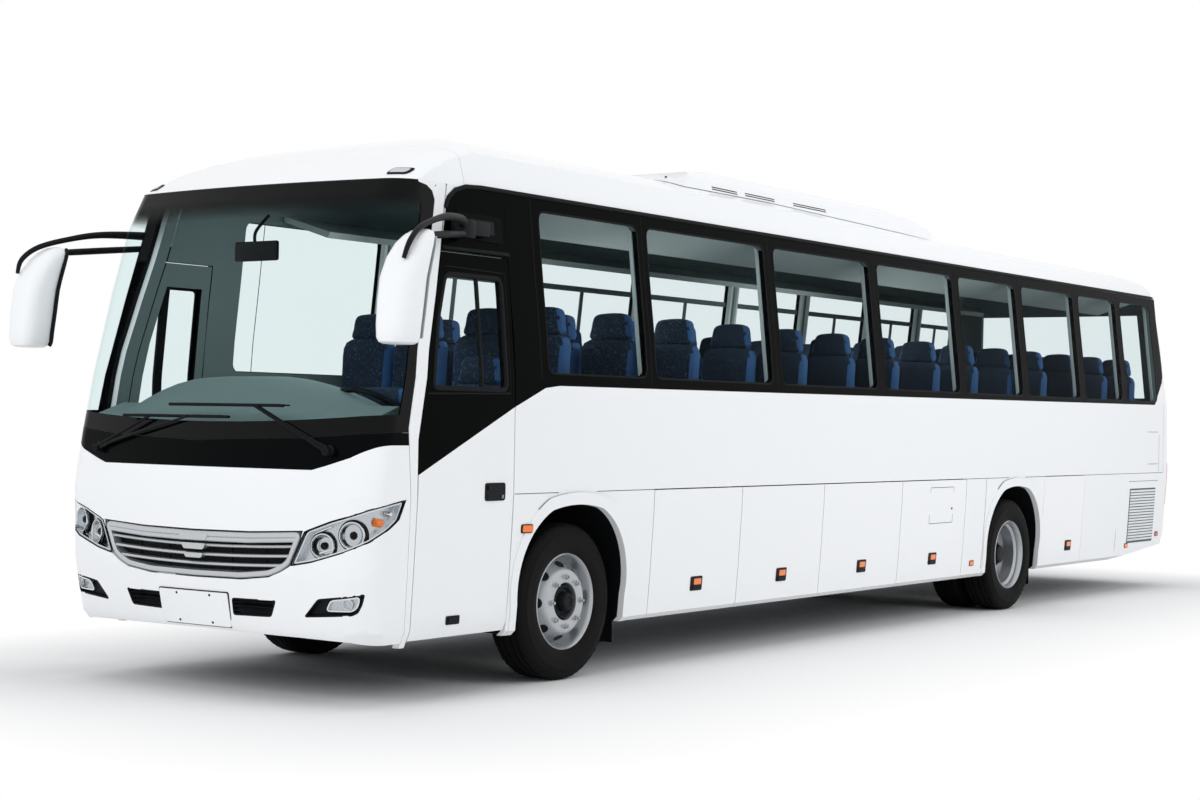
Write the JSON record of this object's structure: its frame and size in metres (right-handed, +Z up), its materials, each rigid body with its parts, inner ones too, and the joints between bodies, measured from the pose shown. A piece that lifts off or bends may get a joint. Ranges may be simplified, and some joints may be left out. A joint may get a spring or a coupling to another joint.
{
  "type": "coach bus",
  "caption": "Single-deck long-distance coach with opening doors, luggage doors and engine lid, steering front wheels and twin rear wheels, seated saloon and roof unit",
  "frame": {"origin": "middle of the bounding box on the ground", "axes": "+X is the coach's left side, -Y its front, +Z up"},
  "size_m": [3.2701, 13.2552, 3.5299],
  "materials": {
    "white_paint": "gloss white coach paint",
    "tinted_glass": "grey-green tinted safety glass",
    "black_gloss": "gloss black glazing surround",
    "lamp_lens": "clear lamp lens",
    "red_lens": "red tail-lamp lens",
    "silver_paint": "satin silver paint",
    "floor_grey": "grey floor covering on plate",
    "chassis_black": "satin black chassis paint",
    "cast_iron": "bare casting",
    "dark_plastic": "dark grey moulded plastic",
    "seat_cloth": "navy patterned seat cloth",
    "rack_grey": "pale grey moulded trim",
    "tyre": "road tyre rubber",
    "wheel_silver": "silver painted steel wheel"
  },
  "bodies": {
    "coach": {"air_conditioner": "white_paint", "chassis_frame": "chassis_black", "dashboard": "dark_plastic", "driver_seat": "seat_cloth", "engine": "cast_iron", "front_axle": "chassis_black", "front_bumper": "white_paint", "front_dome": "white_paint", "front_lamps": "lamp_lens", "front_panel": "white_paint", "front_posts": "white_paint", "grille": "silver_paint", "luggage_hold": "floor_grey", "luggage_racks": "rack_grey", "mirror_left": "white_paint", "mirror_right": "white_paint", "rear_axle": "chassis_black", "roof_shell": "white_paint", "saloon_floor": "floor_grey", "seat_frames": "chassis_black", "seats_left": "seat_cloth", "seats_right": "seat_cloth", "side_glass_left": "tinted_glass", "side_glass_right": "tinted_glass", "side_panels_left": "white_paint", "side_panels_right": "white_paint", "steering_wheel": "dark_plastic", "tail_glass": "tinted_glass", "tail_lamps": "red_lens", "tail_panel": "white_paint", "wheel_housings": "dark_plastic", "window_frame_left": "black_gloss", "window_frame_right": "black_gloss", "windscreen": "tinted_glass", "windscreen_mask": "black_gloss", "wipers": "dark_plastic"},
    "driver_door_body": {"driver_door": "white_paint", "driver_door_glass": "tinted_glass"},
    "entrance_door_body": {"entrance_door": "white_paint", "entrance_door_glass": "tinted_glass"},
    "engine_lid_body": {"engine_lid": "white_paint"},
    "service_door_body": {"service_door": "white_paint"},
    "knuckle_left_body": {"steering_knuckle_left": "chassis_black"},
    "knuckle_right_body": {"steering_knuckle_right": "chassis_black"},
    "front_wheel_left_body": {"front_wheel_left": "wheel_silver", "front_tyre_left": "tyre"},
    "front_wheel_right_body": {"front_wheel_right": "wheel_silver", "front_tyre_right": "tyre"},
    "rear_wheels_left_body": {"rear_wheels_left": "wheel_silver", "rear_tyres_left": "tyre"},
    "rear_wheels_right_body": {"rear_wheels_right": "wheel_silver", "rear_tyres_right": "tyre"},
    "luggage_door_1_left_body": {"luggage_door_1_left": "white_paint"},
    "luggage_door_1_right_body": {"luggage_door_1_right": "white_paint"},
    "luggage_door_2_left_body": {"luggage_door_2_left": "white_paint"},
    "luggage_door_2_right_body": {"luggage_door_2_right": "white_paint"},
    "luggage_door_3_left_body": {"luggage_door_3_left": "white_paint"},
    "luggage_door_3_right_body": {"luggage_door_3_right": "white_paint"},
    "luggage_door_4_left_body": {"luggage_door_4_left": "white_paint"},
    "luggage_door_4_right_body": {"luggage_door_4_right": "white_paint"}
  },
  "joints": [
    {"name": "front_left_steer", "type": "hinge", "parent": "coach", "child": "knuckle_left_body", "pos_m": [0.9, -4.42, 0.5], "axis": [0, 0, 1], "range_deg": [-38, 38]},
    {"name": "front_right_steer", "type": "hinge", "parent": "coach", "child": "knuckle_right_body", "pos_m": [-0.9, -4.42, 0.5], "axis": [0, 0, 1], "range_deg": [-38, 38]},
    {"name": "front_left_roll", "type": "hinge", "parent": "knuckle_left_body", "child": "front_wheel_left_body", "pos_m": [1.034, -4.42, 0.5], "axis": [1, 0, 0], "continuous": true},
    {"name": "front_right_roll", "type": "hinge", "parent": "knuckle_right_body", "child": "front_wheel_right_body", "pos_m": [-1.034, -4.42, 0.5], "axis": [1, 0, 0], "continuous": true},
    {"name": "rear_left_roll", "type": "hinge", "parent": "coach", "child": "rear_wheels_left_body", "pos_m": [0.919, 2.41, 0.5], "axis": [1, 0, 0], "continuous": true},
    {"name": "rear_right_roll", "type": "hinge", "parent": "coach", "child": "rear_wheels_right_body", "pos_m": [-0.919, 2.41, 0.5], "axis": [1, 0, 0], "continuous": true},
    {"name": "driver_door_hinge", "type": "hinge", "parent": "coach", "child": "driver_door_body", "pos_m": [1.249, -6.008, 1], "axis": [0, 0, -1], "range_deg": [0, 70]},
    {"name": "entrance_door_hinge", "type": "hinge", "parent": "coach", "child": "entrance_door_body", "pos_m": [-1.249, -6.008, 1], "axis": [0, 0, 1], "range_deg": [0, 80]},
    {"name": "luggage_door_1_left_hinge", "type": "hinge", "parent": "coach", "child": "luggage_door_1_left_body", "pos_m": [1.25, -2.9695, 1.201], "axis": [0, -1, 0], "range_deg": [0, 90]},
    {"name": "luggage_door_1_right_hinge", "type": "hinge", "parent": "coach", "child": "luggage_door_1_right_body", "pos_m": [-1.25, -2.9695, 1.201], "axis": [0, 1, 0], "range_deg": [0, 90]},
    {"name": "luggage_door_2_left_hinge", "type": "hinge", "parent": "coach", "child": "luggage_door_2_left_body", "pos_m": [1.25, -1.786, 1.201], "axis": [0, -1, 0], "range_deg": [0, 90]},
    {"name": "luggage_door_2_right_hinge", "type": "hinge", "parent": "coach", "child": "luggage_door_2_right_body", "pos_m": [-1.25, -1.786, 1.201], "axis": [0, 1, 0], "range_deg": [0, 90]},
    {"name": "luggage_door_3_left_hinge", "type": "hinge", "parent": "coach", "child": "luggage_door_3_left_body", "pos_m": [1.25, -0.512, 1.201], "axis": [0, -1, 0], "range_deg": [0, 90]},
    {"name": "luggage_door_3_right_hinge", "type": "hinge", "parent": "coach", "child": "luggage_door_3_right_body", "pos_m": [-1.25, -0.512, 1.201], "axis": [0, 1, 0], "range_deg": [0, 90]},
    {"name": "luggage_door_4_left_hinge", "type": "hinge", "parent": "coach", "child": "luggage_door_4_left_body", "pos_m": [1.25, 0.7685, 1.201], "axis": [0, -1, 0], "range_deg": [0, 90]},
    {"name": "luggage_door_4_right_hinge", "type": "hinge", "parent": "coach", "child": "luggage_door_4_right_body", "pos_m": [-1.25, 0.7685, 1.201], "axis": [0, 1, 0], "range_deg": [0, 90]},
    {"name": "service_door_hinge", "type": "hinge", "parent": "coach", "child": "service_door_body", "pos_m": [1.25, 3.602, 1.201], "axis": [0, -1, 0], "range_deg": [0, 90]},
    {"name": "engine_lid_hinge", "type": "hinge", "parent": "coach", "child": "engine_lid_body", "pos_m": [0, 6.606, 1.559], "axis": [1, 0, 0], "range_deg": [0, 70]}
  ],
  "couplings": [
    {"joint": "front_right_steer", "follows": "front_left_steer", "ratio": 1}
  ]
}
